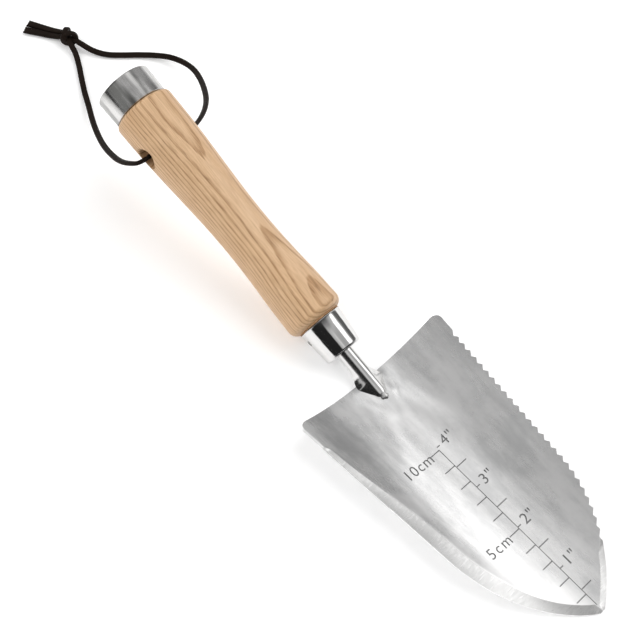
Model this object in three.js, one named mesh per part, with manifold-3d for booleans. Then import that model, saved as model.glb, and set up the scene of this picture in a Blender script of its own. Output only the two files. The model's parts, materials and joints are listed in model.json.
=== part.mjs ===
// A hand transplanter: a narrow garden trowel with a turned ash handle, a rolled
// stainless blade with a depth scale, and a leather thong through the butt.
//
// The tool is modelled in its own frame, in millimetres: origin on the handle's axis
// at the butt, +Y along the handle towards the blade, +Z on the blade's hollow side.
// The whole tool is then laid on the ground plane as it comes to rest by itself, on the
// handle's front swell and the blade's tip, with the origin under its middle.

import * as THREE from 'three';
import * as BufferGeometryUtils from 'three/addons/utils/BufferGeometryUtils.js';
import Module from 'manifold-3d';

const wasm = await Module();
wasm.setup();

// ---------------------------------------------------------------- driving dimensions

const GAP = 0.3; // clearance between neighbouring pieces

const CAP_LENGTH = 14.7;
const CAP_END_RADIUS = 14.4;
const CAP_MOUTH_RADIUS = 14.1;
const CAP_WALL = 1.0;
const CAP_EDGE_ROUND = 1.0;

const WOOD_FRONT = 146.5; // where the wood's front face meets the ferrule
const WOOD_REAR_ROUND = 2.0;
const WOOD_FRONT_ROUND = 4.5;
// Turned outline of the grip, as [distance from the butt, radius].
const GRIP_OUTLINE = [
  [17, 15.4], [27, 15.3], [42, 14.8], [60, 13.8], [80, 12.8],
  [97, 12.6], [112, 13.1], [127, 14.0], [141.5, 14.5],
];

const HOLE_FROM_BUTT = 36.4; // thong hole, straight through the handle along X
const HOLE_RADIUS = 5.5;
const HOLE_MOUTH_RADIUS = 6.8;
const HOLE_MOUTH_DEPTH = 1.6;

const FERRULE_LENGTH = 18.5;
const FERRULE_REAR_RADIUS = 11.4;
const FERRULE_FRONT_RADIUS = 9.5;
const FERRULE_WALL = 1.3;
const FERRULE_EDGE_ROUND = 1.6;
const FERRULE_FRONT = WOOD_FRONT + FERRULE_LENGTH;

const PIN_RADIUS = 1.2; // pin through ferrule, wood and tang, along X
const PIN_FROM_BUTT = WOOD_FRONT + 5.2;

const TANG_RADIUS = 3.0;
const TANG_END = 88;
const TANG_POINT = 6;
const NECK_RADIUS = 4.2;

const BLADE_LENGTH = 148;
const BLADE_TIP = new THREE.Vector3(0, 323.9, 37.1); // on the hollow face
const BLADE_PITCH = THREE.MathUtils.degToRad(15);
const BLADE_ROLL_RADIUS = 80;
const BLADE_THICKNESS = 1.4;
const SHOULDER_HALF_WIDTH = 44.2;
const SHOULDER_ROUND = 4;
const TIP_HALF_WIDTH = 1.5;
const POINT_LENGTH = 60; // length of the arched point, ahead of the near-straight sides
const POINT_HALF_WIDTH = 36.7;
const BEVEL_WIDTH = 7;
const MOST_BEVEL_SHARE = 0.4; // of the half width, near the tip
const BEVEL_EDGE_THICKNESS = 0.5;
const BEVEL_START = 128; // how far back from the tip the ground edge runs
const TOOTH_COUNT = 27;
const TOOTH_DEPTH = 1.3;
const TEETH_FROM_TIP = 21;
const TEETH_TO_TIP = 136;

const FOOT_FLARE = 183.5; // the neck is widest here, over the blade's rear edge
const FOOT_END = 193; // the foot's nose, on the blade
const FOOT_HALF_WIDTH = 7.2;
const NOSE_HALF_WIDTH = 1.0;
const FOOT_HALF_HEIGHT = 1.3;
const FOOT_RISE = 1.0; // how far the foot's middle lies above the handle's axis
const WELD_RADIUS = 0.8;
const WELD_WRAP = 88; // degrees that the weld runs back on each side of the nose

const LACE_RADIUS = 1.4;
const LACE_STEPS = 42;
const TAIL_KNOT_WIDTH = 3.0; // where a tail leaves the knot
const TAIL_END_WIDTH = 4.4;
const TAIL_THICKNESS = 1.8;
const TAIL_STEPS = 6;
// The lace on the ground plane: from the knot, up through the hole in the handle, and
// back down to the knot. Millimetres from the origin under the middle of the tool.
const KNOT_CENTRE = new THREE.Vector3(-21.4, -235.3, 4.4);
const KNOT_RADII = new THREE.Vector3(4.8, 5.0, 4.2);
const LACE_ROUTE = [
  [-19.4, -230.0, 3.4], [-18.4, -225.8, 2.4], [-15.3, -219.0, 1.7], [-10.7, -210.8, 1.6],
  [-6.0, -202.2, 2.0], [-1.2, -192.6, 3.6], [4.4, -182.0, 6.8], [9.6, -171.0, 11.4],
  [14.1, -160.0, 17.2], [17.3, -149.5, 23.4], [19.1, -140.0, 29.4], [18.9, -132.8, 34.8],
  [17.0, -127.8, 38.8], [13.0, -126.1, 40.8], [6.5, -126.2, 41.0], [-6.5, -126.2, 41.0],
  [-13.0, -126.1, 40.8], [-17.2, -127.5, 38.9], [-20.6, -129.3, 36.8], [-26.0, -132.6, 33.6],
  [-32.8, -137.8, 29.4], [-39.7, -144.8, 24.4], [-46.2, -153.9, 19.0], [-51.6, -163.7, 14.0],
  [-55.2, -173.5, 9.6], [-55.9, -182.9, 6.0], [-53.9, -191.2, 3.6], [-49.3, -198.1, 2.2],
  [-43.3, -204.1, 1.6], [-36.7, -209.4, 1.6], [-30.8, -214.8, 1.6], [-26.6, -221.0, 2.2],
  [-23.6, -230.0, 3.4],
];
const TAIL_ROUTES = {
  thong_tail_right: [
    [-21.5, -241.3, 2.6], [-18.8, -246.6, 1.5], [-15.4, -252.7, 1.3], [-12.1, -258.5, 1.3],
  ],
  thong_tail_left: [
    [-18.5, -239.5, 2.6], [-15.6, -244.6, 1.5], [-11.8, -250.5, 1.3], [-7.9, -256.1, 1.3],
  ],
};

const LATHE_SEGMENTS = 36;
const CUTTER_REACH = 20; // half the length of a rod that cuts right through
const CLEARANCE_WIDTH = 24; // the block cut from the neck where the blade runs under it
const CLEARANCE_LENGTH = 20;
const CLEARANCE_DEPTH = 12;

// ------------------------------------------------------------------- shared helpers

// The geometry with only its positions, and with shared corners joined.
function joined(geometry) {
  const bare = new THREE.BufferGeometry();
  bare.setAttribute('position', geometry.attributes.position.clone());
  if (geometry.index) {
    bare.setIndex(geometry.index.clone());
  }
  return BufferGeometryUtils.mergeVertices(bare, 1e-4);
}

function toSolid(geometry) {
  const merged = joined(geometry);
  return new wasm.Manifold(new wasm.Mesh({
    numProp: 3,
    vertProperties: new Float32Array(merged.attributes.position.array),
    triVerts: new Uint32Array(merged.index.array),
  }));
}

function toGeometry(solid) {
  const mesh = solid.getMesh();
  const geometry = new THREE.BufferGeometry();
  geometry.setAttribute('position', new THREE.BufferAttribute(mesh.vertProperties, 3));
  geometry.setIndex(new THREE.BufferAttribute(mesh.triVerts, 1));
  geometry.computeVertexNormals();
  return geometry;
}

// The first geometry with each of the others cut out of it.
function cut(geometry, ...cutters) {
  let solid = toSolid(geometry);
  for (const cutter of cutters) {
    solid = solid.subtract(toSolid(cutter));
  }
  return toGeometry(solid);
}

// Points of a quarter round from one outline point to the next, bulging outwards.
function quarterRound(centreRadius, centreY, round, fromDegrees, toDegrees, steps = 4) {
  const points = [];
  for (let i = 0; i <= steps; i += 1) {
    const angle = THREE.MathUtils.degToRad(fromDegrees + ((toDegrees - fromDegrees) * i) / steps);
    points.push(new THREE.Vector2(
      centreRadius + round * Math.cos(angle),
      centreY + round * Math.sin(angle),
    ));
  }
  return points;
}

function point(radius, y) {
  return new THREE.Vector2(radius, y);
}

// A rod along X, centred on the handle's axis at the given distance from the butt.
function crossRod(radius, halfLength, y, segments = 20) {
  const rod = new THREE.CylinderGeometry(radius, radius, 2 * halfLength, segments);
  rod.rotateZ(Math.PI / 2);
  rod.translate(0, y, 0);
  return rod;
}

// A box grid whose corners are placed one by one. Columns run along +X, rows along +Y,
// and level is 0 on the lower face and 1 on the upper one.
function placedGrid(columns, rows, place) {
  const geometry = new THREE.BoxGeometry(1, 1, 1, columns, rows, 1);
  const position = geometry.attributes.position;
  for (let i = 0; i < position.count; i += 1) {
    const column = Math.round((position.getX(i) + 0.5) * columns);
    const row = Math.round((position.getY(i) + 0.5) * rows);
    const level = position.getZ(i) > 0 ? 1 : 0;
    const corner = place(column, row, level);
    position.setXYZ(i, corner.x, corner.y, corner.z);
  }
  return joined(geometry);
}

function material(color, roughness, metalness) {
  return new THREE.MeshStandardMaterial({ color, roughness, metalness });
}

const steel = () => material('#c9ccd0', 0.25, 1);
const ash = () => material('#e0b88a', 0.6, 0);
const leather = () => material('#33241f', 0.75, 0);

function mesh(name, geometry, look) {
  const made = new THREE.Mesh(geometry, look);
  made.name = name;
  return made;
}

// --------------------------------------------------------------------------- handle

// The ferrule's outer radius at a distance from the butt.
function ferruleRadius(y) {
  const along = (y - WOOD_FRONT) / FERRULE_LENGTH;
  return THREE.MathUtils.lerp(FERRULE_REAR_RADIUS, FERRULE_FRONT_RADIUS, along);
}

function gripOutline() {
  const knots = GRIP_OUTLINE.map(([y, radius]) => point(radius, y));
  return new THREE.SplineCurve(knots).getPoints(18);
}

// The rounded front edge of the grip, where it is thickest.
function frontSwell() {
  const front = gripOutline().at(-1);
  return quarterRound(front.x - WOOD_FRONT_ROUND, front.y, WOOD_FRONT_ROUND, 0, 75, 5);
}

function handleGeometry() {
  const spigotRadius = CAP_MOUTH_RADIUS - CAP_WALL - GAP;
  const spigotEnd = CAP_WALL + GAP;
  const rearFace = CAP_LENGTH + GAP;
  const grip = gripOutline();
  const rear = grip[0];
  const tenonEnd = FERRULE_FRONT - FERRULE_WALL - GAP;
  const boreRadius = TANG_RADIUS + GAP;
  const tenonRadius = (y) => ferruleRadius(y) - FERRULE_WALL - GAP;
  const outline = [
    point(0, spigotEnd),
    point(spigotRadius, spigotEnd),
    point(spigotRadius, rearFace),
    ...quarterRound(rear.x - WOOD_REAR_ROUND, rear.y, WOOD_REAR_ROUND, -90, 0),
    ...grip.slice(1, -1),
    ...frontSwell(),
    point(FERRULE_REAR_RADIUS - FERRULE_WALL - GAP, WOOD_FRONT - GAP),
    point(tenonRadius(tenonEnd), tenonEnd),
    point(boreRadius, tenonEnd),
    point(boreRadius, TANG_END - GAP),
    point(0, TANG_END - GAP - 1),
  ];
  const turned = new THREE.LatheGeometry(outline, LATHE_SEGMENTS);
  const bore = crossRod(HOLE_RADIUS, CUTTER_REACH, HOLE_FROM_BUTT, 32);
  const mouths = [-1, 1].map((side) => holeMouth(side));
  return cut(turned, bore, ...mouths, pinHole());
}

// The flared mouth of the thong hole on one side, a cone around the hole's axis.
function holeMouth(side) {
  const surface = gripOutline().find((knot) => knot.y > HOLE_FROM_BUTT).x;
  const reach = 3 * HOLE_MOUTH_DEPTH;
  const inner = surface - HOLE_MOUTH_DEPTH;
  const slope = (HOLE_MOUTH_RADIUS - HOLE_RADIUS) / HOLE_MOUTH_DEPTH;
  const cone = new THREE.CylinderGeometry(
    HOLE_RADIUS + slope * reach, HOLE_RADIUS, reach, 32,
  );
  cone.translate(0, inner + reach / 2, 0);
  cone.rotateZ((-side * Math.PI) / 2);
  cone.translate(0, HOLE_FROM_BUTT, 0);
  return cone;
}

function buttCapGeometry() {
  const innerRadius = CAP_MOUTH_RADIUS - CAP_WALL;
  const outline = [
    point(0, 0),
    ...quarterRound(CAP_END_RADIUS - CAP_EDGE_ROUND, CAP_EDGE_ROUND, CAP_EDGE_ROUND, -90, 0),
    point(CAP_MOUTH_RADIUS, CAP_LENGTH),
    point(innerRadius, CAP_LENGTH),
    point(innerRadius, CAP_WALL),
    point(0, CAP_WALL),
  ];
  return new THREE.LatheGeometry(outline, LATHE_SEGMENTS);
}

// -------------------------------------------------------------------- ferrule and pin

function ferruleGeometry() {
  const front = FERRULE_FRONT;
  const round = FERRULE_EDGE_ROUND;
  const holeRadius = NECK_RADIUS + GAP;
  const outline = [
    point(FERRULE_REAR_RADIUS - FERRULE_WALL, WOOD_FRONT),
    point(FERRULE_REAR_RADIUS, WOOD_FRONT),
    ...quarterRound(ferruleRadius(front - round) - round, front - round, round, 0, 90),
    point(holeRadius, front),
    point(holeRadius, front - FERRULE_WALL),
    point(ferruleRadius(front) - FERRULE_WALL, front - FERRULE_WALL),
    point(FERRULE_REAR_RADIUS - FERRULE_WALL, WOOD_FRONT),
  ];
  const shell = new THREE.LatheGeometry(outline, LATHE_SEGMENTS);
  return cut(shell, pinHole());
}

// The hole for the pin, through the ferrule, the wood's tenon and the tang.
function pinHole() {
  return crossRod(PIN_RADIUS + GAP, CUTTER_REACH, PIN_FROM_BUTT);
}

function ferrulePinGeometry() {
  const proud = 0.1;
  return crossRod(PIN_RADIUS, ferruleRadius(PIN_FROM_BUTT) + proud, PIN_FROM_BUTT, 16);
}

// ---------------------------------------------------------------------------- blade

// Half the blade's width at a distance back from the tip: an arched point, then sides
// that widen gently to rounded shoulders.
function bladeHalfWidth(back) {
  const sideSlope = (SHOULDER_HALF_WIDTH - POINT_HALF_WIDTH) / (BLADE_LENGTH - POINT_LENGTH);
  if (back < POINT_LENGTH) {
    // The arc that leaves the tip at TIP_HALF_WIDTH and runs into the sides without a corner.
    const rise = POINT_HALF_WIDTH - TIP_HALF_WIDTH;
    const tilt = Math.atan(sideSlope);
    const radius = (POINT_LENGTH ** 2 + rise ** 2)
      / (2 * (rise * Math.cos(tilt) - POINT_LENGTH * Math.sin(tilt)));
    const centreBack = POINT_LENGTH + radius * Math.sin(tilt);
    const centreWidth = POINT_HALF_WIDTH - radius * Math.cos(tilt);
    return centreWidth + Math.sqrt(radius ** 2 - (back - centreBack) ** 2);
  }
  const side = POINT_HALF_WIDTH + sideSlope * (back - POINT_LENGTH);
  const intoCorner = back - (BLADE_LENGTH - SHOULDER_ROUND);
  if (intoCorner <= 0) {
    return side;
  }
  return side - SHOULDER_ROUND + Math.sqrt(SHOULDER_ROUND ** 2 - intoCorner ** 2);
}

// A point of the blade in the tool's frame: x across, back from the tip, and height
// above the rolled hollow face.
function bladePoint(x, back, height) {
  const rolled = BLADE_ROLL_RADIUS - Math.sqrt(BLADE_ROLL_RADIUS ** 2 - x ** 2);
  const lean = Math.asin(x / BLADE_ROLL_RADIUS);
  const across = x - height * Math.sin(lean);
  const up = rolled + height * Math.cos(lean);
  return new THREE.Vector3(
    across,
    BLADE_TIP.y - back * Math.cos(BLADE_PITCH) - up * Math.sin(BLADE_PITCH),
    BLADE_TIP.z - back * Math.sin(BLADE_PITCH) + up * Math.cos(BLADE_PITCH),
  );
}

// Distances back from the tip at which the blade's grid has a row, rear edge first:
// the rounded shoulders, two rows per tooth, and closer rows towards the tip.
function bladeRows() {
  const rows = [];
  for (let i = 0; i <= 4; i += 1) {
    const angle = ((Math.PI / 2) * (4 - i)) / 4;
    rows.push(BLADE_LENGTH - SHOULDER_ROUND + SHOULDER_ROUND * Math.sin(angle));
  }
  const toothRows = 2 * TOOTH_COUNT;
  for (let i = 0; i <= toothRows; i += 1) {
    rows.push(TEETH_TO_TIP - ((TEETH_TO_TIP - TEETH_FROM_TIP) * i) / toothRows);
  }
  const tipRows = 6;
  for (let i = tipRows - 1; i >= 0; i -= 1) {
    rows.push(TEETH_FROM_TIP * (i / tipRows) ** 1.5);
  }
  return rows;
}

// How deep the teeth cut in at a distance back from the tip: full depth on every other
// row, and nothing outside the toothed stretch.
function toothCut(back) {
  const pitch = (TEETH_TO_TIP - TEETH_FROM_TIP) / TOOTH_COUNT;
  const phase = (back - TEETH_FROM_TIP) / pitch;
  if (phase < 0 || phase > TOOTH_COUNT) {
    return 0;
  }
  return TOOTH_DEPTH * 2 * Math.abs(phase - Math.round(phase));
}

function bladeGeometry() {
  const rows = bladeRows();
  const columns = 14;
  const place = (column, row, level) => {
    const back = rows[row];
    const half = bladeHalfWidth(back);
    const bevel = Math.min(BEVEL_WIDTH, MOST_BEVEL_SHARE * half);
    const inner = half - bevel;
    const outerColumn = column === 0 || column === columns;
    const side = column < columns / 2 ? -1 : 1;
    const notch = side < 0 ? toothCut(back) : 0;
    const x = outerColumn
      ? side * (half - notch)
      : THREE.MathUtils.lerp(-inner, inner, (column - 1) / (columns - 2));
    const ground = outerColumn && (side > 0 ? back < BEVEL_START : back < TEETH_FROM_TIP);
    const top = ground ? BEVEL_EDGE_THICKNESS - BLADE_THICKNESS : 0;
    return bladePoint(x, back, level === 1 ? top : -BLADE_THICKNESS);
  };
  return placedGrid(columns, rows.length - 1, place);
}

// --------------------------------------------------------------------- neck and weld

// Half the neck's width at a distance from the butt: a rod that spreads into a foot on
// the blade's rear edge, then closes in a round nose.
function neckHalfWidth(y) {
  if (y < FOOT_FLARE) {
    const along = Math.max(0, (y - FERRULE_FRONT) / (FOOT_FLARE - FERRULE_FRONT));
    return THREE.MathUtils.lerp(NECK_RADIUS, FOOT_HALF_WIDTH, along ** 5);
  }
  const along = (y - FOOT_FLARE) / (FOOT_END - FOOT_FLARE);
  return THREE.MathUtils.lerp(NOSE_HALF_WIDTH, FOOT_HALF_WIDTH, Math.sqrt(1 - along ** 2));
}

// How far along its bare length the neck is at a distance from the butt, from 0 to 1.
function alongNeck(y) {
  return Math.max(0, (y - FERRULE_FRONT) / (FOOT_END - FERRULE_FRONT));
}

function neckHalfHeight(y) {
  return THREE.MathUtils.lerp(NECK_RADIUS, FOOT_HALF_HEIGHT, alongNeck(y) ** 3);
}

function neckGeometry() {
  const tangStations = [TANG_END, TANG_END + TANG_POINT, FERRULE_FRONT - FERRULE_WALL];
  const stations = [...tangStations, FERRULE_FRONT];
  const neckSteps = 14;
  for (let i = 1; i <= neckSteps; i += 1) {
    // Closer together towards the nose.
    const along = 1 - (1 - i / neckSteps) ** 1.4;
    stations.push(THREE.MathUtils.lerp(FERRULE_FRONT, FOOT_END, along));
  }
  const rod = new THREE.CylinderGeometry(1, 1, 1, 20, stations.length - 1);
  const position = rod.attributes.position;
  for (let i = 0; i < position.count; i += 1) {
    const station = Math.round((position.getY(i) + 0.5) * (stations.length - 1));
    const y = stations[station];
    let halfWidth = neckHalfWidth(y);
    let halfHeight = neckHalfHeight(y);
    if (station < tangStations.length) {
      halfWidth = station === 0 ? TANG_RADIUS / 3 : TANG_RADIUS;
      halfHeight = halfWidth;
    }
    const rise = FOOT_RISE * alongNeck(y) ** 2;
    position.setXYZ(i, position.getX(i) * halfWidth, y, position.getZ(i) * halfHeight + rise);
  }
  return cut(rod, bladeClearance(), pinHole());
}

// The room that the rear of the blade takes under the neck's foot, with the gap added.
function bladeClearance() {
  const columns = 8;
  const rows = [BLADE_LENGTH + GAP, BLADE_LENGTH - CLEARANCE_LENGTH];
  const place = (column, row, level) => {
    const x = CLEARANCE_WIDTH * (column / columns - 0.5);
    return bladePoint(x, rows[row], level === 1 ? GAP : -CLEARANCE_DEPTH);
  };
  return placedGrid(columns, 1, place);
}

// The weld bead around the foot, in a U that is open towards the handle.
function weldGeometry() {
  const offset = GAP + WELD_RADIUS;
  const route = [];
  const sideSteps = 6;
  for (let i = -sideSteps; i <= sideSteps; i += 1) {
    const turn = THREE.MathUtils.degToRad(WELD_WRAP * (i / sideSteps));
    const x = (FOOT_HALF_WIDTH + offset) * Math.sin(turn);
    const y = FOOT_FLARE + (FOOT_END + offset - FOOT_FLARE) * Math.cos(turn);
    const back = (BLADE_TIP.y - y) / Math.cos(BLADE_PITCH);
    route.push(bladePoint(x, back, offset));
  }
  return tubeAlong(route, WELD_RADIUS, 16, 8);
}

// ---------------------------------------------------------------------------- thong

function tubeAlong(route, radius, steps, sides) {
  const section = new THREE.Shape();
  for (let i = 0; i < sides; i += 1) {
    const angle = (2 * Math.PI * (i + 0.5)) / sides;
    const x = radius * Math.cos(angle);
    const y = radius * Math.sin(angle);
    if (i === 0) {
      section.moveTo(x, y);
    } else {
      section.lineTo(x, y);
    }
  }
  section.closePath();
  return new THREE.ExtrudeGeometry(section, {
    steps,
    bevelEnabled: false,
    extrudePath: new THREE.CatmullRomCurve3(route, false, 'centripetal'),
  });
}

function thongLoopGeometry() {
  const route = LACE_ROUTE.map((place) => new THREE.Vector3(...place));
  return tubeAlong(route, LACE_RADIUS, LACE_STEPS, 8);
}

function thongKnotGeometry() {
  const knot = new THREE.SphereGeometry(1, 14, 10);
  knot.scale(KNOT_RADII.x, KNOT_RADII.y, KNOT_RADII.z);
  knot.translate(KNOT_CENTRE.x, KNOT_CENTRE.y, KNOT_CENTRE.z);
  return knot;
}

// A flat tail of the lace on its broad side, spread a little towards its free end.
function tailGeometry(places) {
  const route = new THREE.CatmullRomCurve3(places.map((place) => new THREE.Vector3(...place)));
  const up = new THREE.Vector3(0, 0, 1);
  const place = (column, row, level) => {
    const along = row / TAIL_STEPS;
    const side = route.getTangentAt(along).cross(up).normalize();
    const width = THREE.MathUtils.lerp(TAIL_KNOT_WIDTH, TAIL_END_WIDTH, along);
    return route.getPointAt(along)
      .addScaledVector(side, width * (column - 0.5))
      .addScaledVector(up, TAIL_THICKNESS * (level - 0.5));
  };
  return placedGrid(1, TAIL_STEPS, place);
}

// ------------------------------------------------------------------------- assembly

// The pitch at which a flat surface under the tool touches the blade's tip and the
// handle's front swell together.
function restPitch() {
  const tip = bladePoint(0, 0, -BLADE_THICKNESS);
  const slopes = frontSwell().map((rim) => (tip.z + rim.x) / (tip.y - rim.y));
  return Math.atan(Math.max(...slopes));
}

const tool = new THREE.Group();
tool.add(
  mesh('handle', handleGeometry(), ash()),
  mesh('butt_cap', buttCapGeometry(), steel()),
  mesh('ferrule', ferruleGeometry(), steel()),
  mesh('ferrule_pin', ferrulePinGeometry(), steel()),
  mesh('neck_and_tang', neckGeometry(), steel()),
  mesh('neck_weld', weldGeometry(), steel()),
  mesh('blade', bladeGeometry(), steel()),
);

tool.rotation.x = -restPitch();
tool.updateMatrixWorld(true);
const bounds = new THREE.Box3().setFromObject(tool, true);
const middle = bounds.getCenter(new THREE.Vector3());
tool.position.set(-middle.x, -middle.y, -bounds.min.z);

const thong = new THREE.Group();
thong.add(
  mesh('thong_loop', thongLoopGeometry(), leather()),
  mesh('thong_knot', thongKnotGeometry(), leather()),
);
for (const [name, places] of Object.entries(TAIL_ROUTES)) {
  thong.add(mesh(name, tailGeometry(places), leather()));
}

const group = new THREE.Group();
group.add(tool, thong);

export default group;
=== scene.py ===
"""A hand transplanter: an ash-handled garden trowel with an engraved, serrated blade."""

import json
import math

import bmesh
import bpy
import numpy as np
from mathutils import Matrix, Vector


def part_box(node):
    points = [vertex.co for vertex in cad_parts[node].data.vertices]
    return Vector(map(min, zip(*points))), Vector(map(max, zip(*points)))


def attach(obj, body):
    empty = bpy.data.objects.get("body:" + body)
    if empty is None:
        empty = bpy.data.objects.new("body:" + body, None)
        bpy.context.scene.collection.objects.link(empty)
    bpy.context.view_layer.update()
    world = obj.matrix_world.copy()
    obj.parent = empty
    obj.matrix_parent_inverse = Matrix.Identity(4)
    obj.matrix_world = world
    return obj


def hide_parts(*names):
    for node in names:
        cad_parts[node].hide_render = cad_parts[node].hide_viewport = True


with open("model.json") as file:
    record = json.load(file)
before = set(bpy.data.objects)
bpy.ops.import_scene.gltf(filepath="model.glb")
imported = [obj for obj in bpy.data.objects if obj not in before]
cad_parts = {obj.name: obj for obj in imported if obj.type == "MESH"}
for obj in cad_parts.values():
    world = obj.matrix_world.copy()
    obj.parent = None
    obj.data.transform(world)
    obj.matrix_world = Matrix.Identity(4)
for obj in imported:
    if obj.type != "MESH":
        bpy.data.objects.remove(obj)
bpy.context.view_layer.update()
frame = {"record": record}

# ---- sizes, in metres
# The tool's own frame: origin at the butt, +Y along the handle, +Z the hollow side.

CAP_LENGTH = 0.0147
CAP_END_RADIUS = 0.0144
CAP_MOUTH_RADIUS = 0.0141
CAP_WALL = 0.0010
CAP_EDGE_ROUND = 0.0009
CAP_CHAMFER = 0.0003  # at its mouth, against the wood

WOOD_FRONT = 0.1465
WOOD_REAR_ROUND = 0.0020
WOOD_FRONT_ROUND = 0.0045
GRIP_OUTLINE = [  # distance from the butt, radius
    (0.017, 0.0154), (0.027, 0.0153), (0.042, 0.0148), (0.060, 0.0138), (0.080, 0.0128),
    (0.097, 0.0126), (0.112, 0.0131), (0.127, 0.0140), (0.1415, 0.0145),
]
JOINT_GAP = 0.0003  # hidden, between pieces that fit together
SEAM = 0.0001  # seen, between pieces that meet

HOLE_FROM_BUTT = 0.0364
HOLE_RADIUS = 0.0055
HOLE_MOUTH_RADIUS = 0.0068
GRIP_RADIUS_AT_HOLE = 0.0152

FERRULE_LENGTH = 0.0185
FERRULE_REAR_RADIUS = 0.0114
FERRULE_FRONT_RADIUS = 0.0095
FERRULE_WALL = 0.0013
FERRULE_EDGE_ROUND = 0.0016
FERRULE_BEAD = 0.0003  # the radius of the small bead round its rear edge
FERRULE_FRONT = WOOD_FRONT + FERRULE_LENGTH
PIN_RADIUS = 0.0012
PIN_FROM_BUTT = WOOD_FRONT + 0.0052

TANG_RADIUS = 0.0030
TANG_END = 0.088
TANG_POINT = 0.006
NECK_RADIUS = 0.0042
FLARE_START = 0.1715
FLARE_END = 0.1830
FOOT_HALF_WIDTH = 0.0072
NOSE_START = 0.1890
NOSE_HALF_WIDTH = 0.0039
FOOT_SUNK = 0.0009  # how far the foot's underside lies inside the sheet
FOOT_END = 0.1926
BEAD_RADIUS = 0.0020
BEAD_HEIGHT = 0.0012

BLADE_LENGTH = 0.148
BLADE_TIP = Vector((0, 0.3239, 0.0371))
BLADE_PITCH = math.radians(15)
BLADE_ROLL_RADIUS = 0.080
BLADE_THICKNESS = 0.0014
SHOULDER_HALF_WIDTH = 0.0442
SHOULDER_ROUND = 0.004
TIP_HALF_WIDTH = 0.0015
POINT_LENGTH = 0.060
POINT_HALF_WIDTH = 0.0367
BEVEL_START = 0.133
BEVEL_EDGE_THICKNESS = 0.0004
TOOTH_COUNT = 27
TOOTH_DEPTH = 0.0013
TEETH_FROM_TIP = 0.021
TEETH_TO_TIP = 0.136
# The sheet round the foot: a pressed-up rim, and two creases that fan out ahead of it.
RIM_HEIGHT = 0.0011
RIM_REACH = 0.0095
RIM_NARROWING = 0.0045
CREASE_HEIGHT = 0.00042
BLADE_REAR = BLADE_TIP.y - BLADE_LENGTH * math.cos(BLADE_PITCH)

CENTIMETRE = 0.010
INCH = 0.0254
MARK_DEPTH = 0.00025
MARK_CLEAR = 0.0006
LINE_FROM_TIP = 0.0036
MARK_WIDTH = 0.00050
LINE_WIDTH = 0.00032
LONG_MARK = 0.00607
SHORT_MARK = 0.0018
FIGURE_HEIGHT = 0.0052
FIGURE_DROP = 0.0008  # of the inch figures, below their marks
INCH_FIGURE_FROM_LINE = 0.0036

LACE_WIDTH = 0.0030
LACE_THICKNESS = 0.0021
TAIL_THICKNESS = 0.0019
TAIL_SPREAD = 1.42
TAIL_NOTCH = 0.0017
# The lace's route on the floor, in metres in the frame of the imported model.
LACE_ROUTE = [
    (-0.0194, -0.2300, 0.0034), (-0.0184, -0.2258, 0.0024), (-0.0153, -0.2190, 0.0017),
    (-0.0107, -0.2108, 0.0016), (-0.0060, -0.2022, 0.0020), (-0.0012, -0.1926, 0.0036),
    (0.0044, -0.1820, 0.0068), (0.0096, -0.1710, 0.0114), (0.0141, -0.1600, 0.0172),
    (0.0173, -0.1495, 0.0234), (0.0191, -0.1400, 0.0294), (0.0189, -0.1328, 0.0348),
    (0.0170, -0.1278, 0.0388), (0.0130, -0.1261, 0.0408), (0.0065, -0.1262, 0.0410),
    (-0.0065, -0.1262, 0.0410), (-0.0130, -0.1261, 0.0408), (-0.0172, -0.1275, 0.0389),
    (-0.0206, -0.1293, 0.0368), (-0.0260, -0.1326, 0.0336), (-0.0328, -0.1378, 0.0294),
    (-0.0397, -0.1448, 0.0244), (-0.0462, -0.1539, 0.0190), (-0.0516, -0.1637, 0.0140),
    (-0.0552, -0.1735, 0.0096), (-0.0559, -0.1829, 0.0060), (-0.0539, -0.1912, 0.0036),
    (-0.0493, -0.1981, 0.0022), (-0.0433, -0.2041, 0.0016), (-0.0367, -0.2094, 0.0016),
    (-0.0308, -0.2148, 0.0016), (-0.0266, -0.2210, 0.0022), (-0.0236, -0.2300, 0.0034),
]
TAIL_ROUTES = {
    "lace_tail_right": [
        (-0.0215, -0.2413, 0.0026), (-0.0188, -0.2466, 0.0015),
        (-0.0154, -0.2527, 0.0013), (-0.0121, -0.2585, 0.0013),
    ],
    "lace_tail_left": [
        (-0.0185, -0.2395, 0.0026), (-0.0156, -0.2446, 0.0015),
        (-0.0118, -0.2505, 0.0013), (-0.0079, -0.2561, 0.0013),
    ],
}

# The tree's pith, from the handle's axis, and the spacing of its growth rings.
PITH_SHIFT = (-0.0175, 0.0, 0.058)
PITH_TILT = (0.012, 0.0, 0.010)
RING_SPACING = 0.0017

# The material slots of the blade's mesh; the engraved slot's dark base colour is painted shade in
# the grooves.
ENGRAVED_SHADE_SLOT = 1
GROUND_SLOT = 2

# The photograph's viewpoint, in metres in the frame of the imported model.
CAMERA_PLACE = Vector((0.2335, 0.1715, 0.5488))
CAMERA_AIM = Vector((-0.0024, -0.0199, 0.0100))
CAMERA_UP = Vector((-0.5721, -0.6612, 0.4853))
CAMERA_LENS = 73.8


# ---- the camera

def make_camera():
    """The camera that the main picture is taken with."""
    data = bpy.data.cameras.new("camera")
    data.lens = CAMERA_LENS
    data.sensor_width = 36
    data.clip_end = 20
    camera = bpy.data.objects.new("camera", data)
    bpy.context.scene.collection.objects.link(camera)
    back = (CAMERA_PLACE - CAMERA_AIM).normalized()
    right = CAMERA_UP.cross(back).normalized()
    up = back.cross(right)
    turn = Matrix((right, up, back)).transposed().to_4x4()
    camera.matrix_world = Matrix.Translation(CAMERA_PLACE) @ turn
    bpy.context.scene.camera = camera


make_camera()


# ---- mesh helpers

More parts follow.
